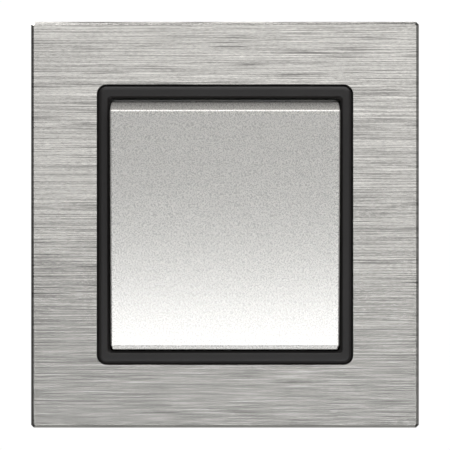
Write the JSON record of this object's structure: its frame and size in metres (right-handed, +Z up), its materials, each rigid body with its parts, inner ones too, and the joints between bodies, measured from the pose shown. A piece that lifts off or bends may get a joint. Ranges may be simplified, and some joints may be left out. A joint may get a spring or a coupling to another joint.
{
  "type": "rocker wall switch",
  "caption": "Flush rocker wall switch: brushed aluminium plate, dark bezel ring, silver rocker that tilts, and a changeover mechanism with spreading claws and push-in terminals.",
  "frame": {"origin": "centre of the switch on the wall's surface, midway between the two box screws, in the rear face of the steel bridge", "axes": "+Z up, +X to the right as seen from the room, +Y into the wall, so the rocker faces -Y"},
  "size_m": [0.082, 0.0373, 0.086],
  "materials": {
    "plate_aluminium": "brushed sideways, clear anodised",
    "tape_grey": "foam tape",
    "carrier_black": "moulded, fine texture",
    "ring_anthracite": "moulded, satin",
    "rocker_silver": "silver lacquer, satin",
    "toggle_white": "moulded",
    "plunger_brass": "turned",
    "contact_brass": "stamped",
    "contact_silver": "satin silver",
    "spring_steel": "bright spring steel",
    "housing_grey": "moulded, fine texture",
    "screw_steel": "zinc plated",
    "bridge_zinc": "zinc plated sheet",
    "pusher_grey": "moulded"
  },
  "bodies": {
    "mechanism": {"front_plate": "plate_aluminium", "bonding_tape": "tape_grey", "plate_carrier": "carrier_black", "bezel_ring": "ring_anthracite", "mounting_bridge": "bridge_zinc", "housing_cover": "housing_grey", "housing_screws": "screw_steel", "housing_base": "housing_grey", "common_contact": "contact_brass", "fixed_contact_upper": "contact_brass", "fixed_contact_lower": "contact_brass", "fixed_tips": "contact_silver", "clamp_spring_left_upper": "spring_steel", "clamp_spring_left_lower": "spring_steel", "clamp_spring_right_upper": "spring_steel", "clamp_spring_right_lower": "spring_steel", "claw_pin_left": "screw_steel", "claw_pin_right": "screw_steel"},
    "rocker": {"rocker_cap": "rocker_silver", "toggle": "toggle_white", "toggle_spring": "spring_steel"},
    "plunger": {"plunger": "plunger_brass"},
    "contact": {"contact_blade": "contact_brass", "blade_tips": "contact_silver"},
    "claw_left": {"claw_left": "bridge_zinc"},
    "claw_right": {"claw_right": "bridge_zinc"},
    "claw_screw_left": {"claw_screw_left": "screw_steel"},
    "claw_screw_right": {"claw_screw_right": "screw_steel"},
    "release_pusher_left": {"release_pusher_left": "pusher_grey"},
    "release_pusher_right": {"release_pusher_right": "pusher_grey"}
  },
  "joints": [
    {"name": "rocker_tilt", "type": "hinge", "parent": "mechanism", "child": "rocker", "pos_m": [0, -0.0033, 0], "axis": [1, 0, 0], "range_deg": [-11, 0]},
    {"name": "plunger_slide", "type": "slide", "parent": "rocker", "child": "plunger", "axis": [0, 0.9954, 0.0958], "range_m": [-0.0008, 0], "stiffness_N_per_m": 500, "springref_m": 0.002, "deforming": ["toggle_spring"]},
    {"name": "contact_rock", "type": "hinge", "parent": "mechanism", "child": "contact", "pos_m": [0, 0.011, 0], "axis": [1, 0, 0], "range_deg": [0, 16]},
    {"name": "claw_left_swing", "type": "hinge", "parent": "mechanism", "child": "claw_left", "pos_m": [-0.0262, 0.0032, 0], "axis": [0, 0, 1], "range_deg": [0, 30]},
    {"name": "claw_screw_left_travel", "type": "slide", "parent": "mechanism", "child": "claw_screw_left", "axis": [0, 1, 0], "range_m": [0, 0.0025]},
    {"name": "release_pusher_left_travel", "type": "slide", "parent": "mechanism", "child": "release_pusher_left", "axis": [0, -1, 0], "range_m": [0, 0.0015], "stiffness_N_per_m": 800, "springref_m": -0.0005},
    {"name": "claw_right_swing", "type": "hinge", "parent": "mechanism", "child": "claw_right", "pos_m": [0.0262, 0.0032, 0], "axis": [0, 0, -1], "range_deg": [0, 30]},
    {"name": "claw_screw_right_travel", "type": "slide", "parent": "mechanism", "child": "claw_screw_right", "axis": [0, 1, 0], "range_m": [0, 0.0025]},
    {"name": "release_pusher_right_travel", "type": "slide", "parent": "mechanism", "child": "release_pusher_right", "axis": [0, -1, 0], "range_m": [0, 0.0015], "stiffness_N_per_m": 800, "springref_m": -0.0005}
  ],
  "couplings": [
    {"joint": "contact_rock", "follows": "rocker_tilt", "ratio": -1.4545},
    {"joint": "claw_left_swing", "follows": "claw_screw_left_travel", "rad_per_m": 208.33},
    {"joint": "claw_right_swing", "follows": "claw_screw_right_travel", "rad_per_m": 208.33}
  ]
}
